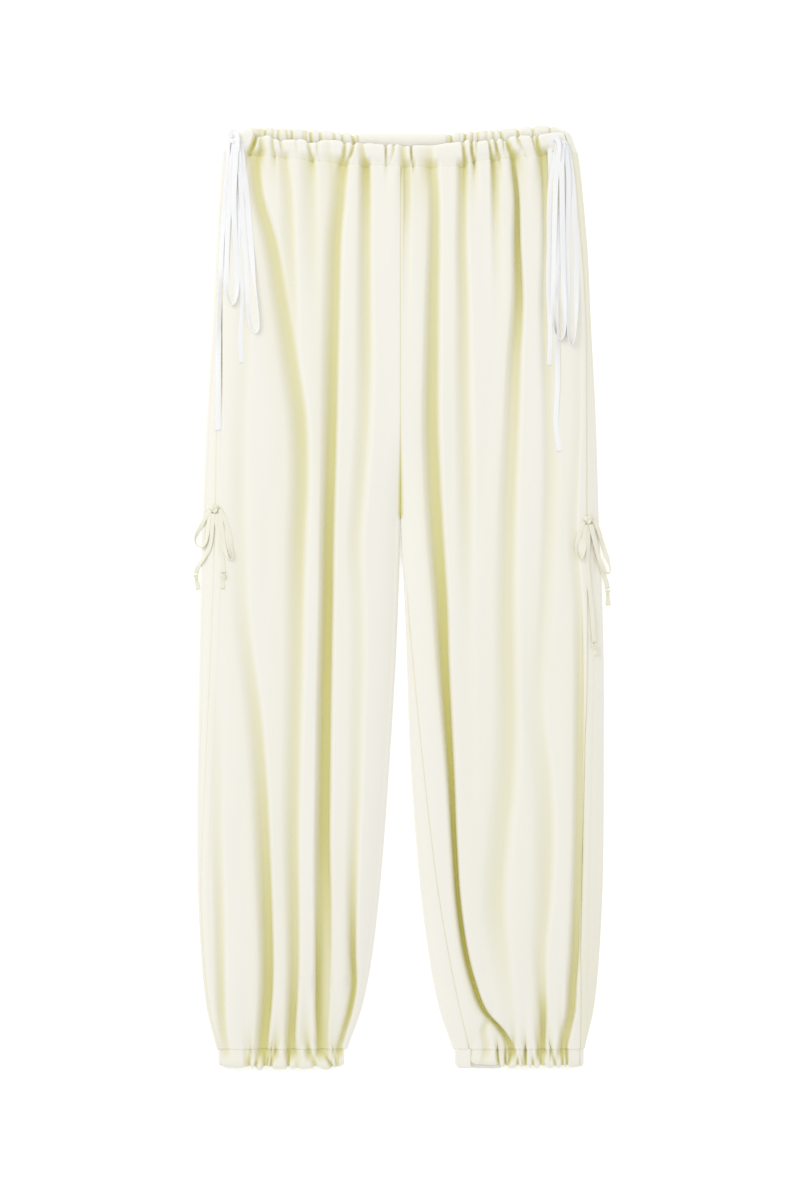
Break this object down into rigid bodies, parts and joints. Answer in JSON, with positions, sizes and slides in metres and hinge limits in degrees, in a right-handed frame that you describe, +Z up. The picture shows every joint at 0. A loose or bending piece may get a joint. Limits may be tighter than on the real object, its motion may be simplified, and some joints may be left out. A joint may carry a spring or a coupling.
{
  "type": "jogger pants",
  "caption": "Full-length crepe jogger pants laid flat on their back, with a gathered elastic waist, side drawstring bows, mid-thigh side ties and gathered ankles.",
  "frame": {"origin": "on the surface the garment lies on, under the middle of its outline", "axes": "+Y from the ankles to the waist, +X towards the wearer's left leg, +Z up from the surface, out of the garment's front"},
  "size_m": [0.4511, 1.0187, 0.0235],
  "materials": {
    "crepe": "matte fine-grained crepe, cream, yellower in the depth of its folds",
    "drawstring": "flat woven tape, cool white, soft sheen",
    "tie": "narrow folded tie of the same crepe, cream, matte"
  },
  "bodies": {
    "root": {"front_right": "crepe", "back_right": "crepe", "front_left": "crepe", "back_left": "crepe", "waist_casing_front": "crepe", "waist_casing_back": "crepe", "ankle_casing_right_front": "crepe", "ankle_casing_right_back": "crepe", "ankle_casing_left_front": "crepe", "ankle_casing_left_back": "crepe", "waist_knot_right": "drawstring", "waist_loop_right_a": "drawstring", "waist_loop_right_b": "drawstring", "waist_end_right_a": "drawstring", "waist_end_right_b": "drawstring", "waist_knot_left": "drawstring", "waist_loop_left_a": "drawstring", "waist_loop_left_b": "drawstring", "waist_end_left_a": "drawstring", "waist_end_left_b": "drawstring", "thigh_knot_right": "tie", "thigh_loop_right_a": "tie", "thigh_loop_right_b": "tie", "thigh_end_right_a": "tie", "thigh_end_right_b": "tie", "thigh_end_knot_right_a": "tie", "thigh_end_knot_right_b": "tie", "thigh_knot_left": "tie", "thigh_loop_left_a": "tie", "thigh_loop_left_b": "tie", "thigh_end_left_a": "tie", "thigh_end_left_b": "tie", "thigh_end_knot_left_a": "tie", "thigh_end_knot_left_b": "tie"}
  },
  "joints": []
}
